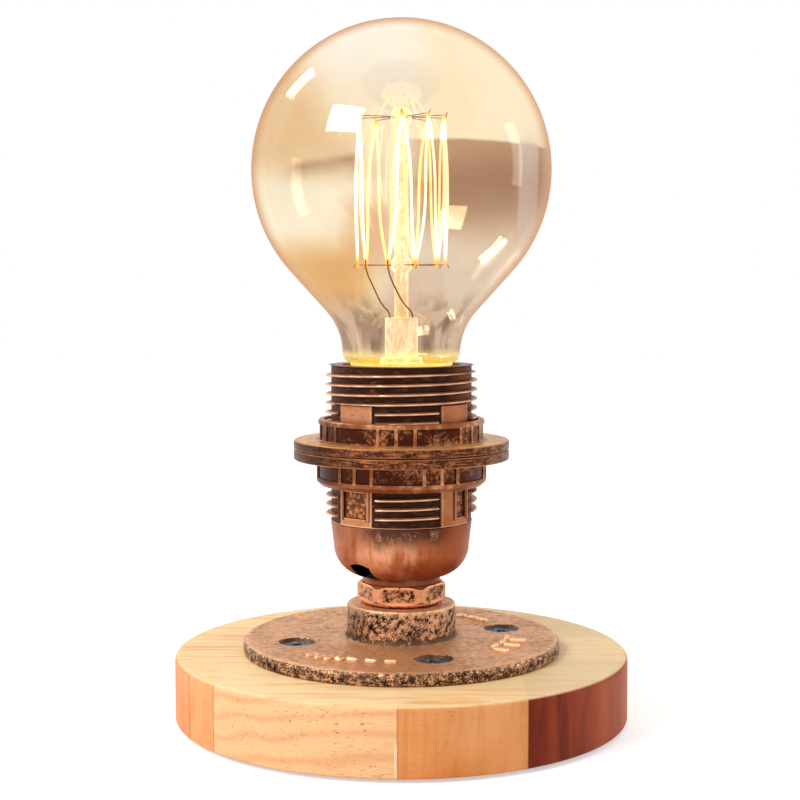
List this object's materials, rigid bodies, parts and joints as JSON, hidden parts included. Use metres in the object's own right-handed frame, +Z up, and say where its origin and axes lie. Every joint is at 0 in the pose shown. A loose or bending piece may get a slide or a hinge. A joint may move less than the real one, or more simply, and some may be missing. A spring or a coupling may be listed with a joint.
{
  "type": "bare bulb table lamp",
  "caption": "Table lamp with a round wooden base, a cast floor flange, a threaded lampholder with ribbed shade rings, and a bare globe bulb with a squirrel cage filament.",
  "frame": {"origin": "middle of the footprint, on the table", "axes": "+Z up along the lamp's axis, -Y towards the front, +Y towards the back where the cord inlet is"},
  "size_m": [0.12, 0.12, 0.1839],
  "materials": {
    "wood": "turned and oiled, satin",
    "foam": "matt",
    "cast_iron": "rough cast, dark with worn bronze highlights",
    "steel": "blued, dull",
    "plated_steel": "zinc plated",
    "phenolic": "moulded phenolic, antique bronze with worn copper edges",
    "ceramic": "unglazed",
    "brass": "bright, slightly worn",
    "bulb_glass": "clear amber",
    "stem_glass": "clear",
    "cement": "matt",
    "black_glass": "glossy",
    "wire": "drawn",
    "carbon": "glowing carbon thread"
  },
  "bodies": {
    "holder": {"base_board": "wood", "foot_pads": "foam", "floor_flange": "cast_iron", "flange_screws": "steel", "hex_bushing": "cast_iron", "threaded_nipple": "plated_steel", "nipple_locknut": "plated_steel", "holder_cap": "phenolic", "holder_skirt": "phenolic", "contact_block": "ceramic", "screw_socket": "brass", "terminal_plates": "brass", "terminal_screws": "brass", "contact_rivets": "brass"},
    "upper_shade_ring": {"upper_ring": "phenolic"},
    "lower_shade_ring": {"lower_ring": "phenolic"},
    "tongue": {"centre_tongue": "brass"},
    "bulb_carrier": {"centre_button": "brass"},
    "bulb": {"bulb_glass": "bulb_glass", "bulb_cap": "brass", "cap_cement": "cement", "cap_insulator": "black_glass", "glass_stem": "stem_glass", "glass_rod": "stem_glass", "support_wires_top": "wire", "support_wires_bottom": "wire", "filament": "carbon", "lead_wires": "wire", "outer_leads": "wire"}
  },
  "joints": [
    {"name": "upper_ring_screw", "type": "slide", "parent": "holder", "child": "upper_shade_ring", "axis": [0, 0, 1], "range_m": [0, 0.0146]},
    {"name": "lower_ring_screw", "type": "slide", "parent": "holder", "child": "lower_shade_ring", "axis": [0, 0, 1], "range_m": [-0.0075, 0]},
    {"name": "tongue_flex", "type": "hinge", "parent": "holder", "child": "tongue", "pos_m": [-0.011, 0, 0.06305], "axis": [0, 1, 0], "range_deg": [0, 3]},
    {"name": "bulb_rise", "type": "slide", "parent": "holder", "child": "bulb_carrier", "axis": [0, 0, 1], "range_m": [0, 0.01452]},
    {"name": "bulb_turn", "type": "hinge", "parent": "bulb_carrier", "child": "bulb", "pos_m": [0, 0, 0.0841], "axis": [0, 0, 1], "range_deg": [0, 1440]}
  ],
  "couplings": [
    {"joint": "bulb_rise", "follows": "bulb_turn", "m_per_rad": 0.00057757}
  ]
}
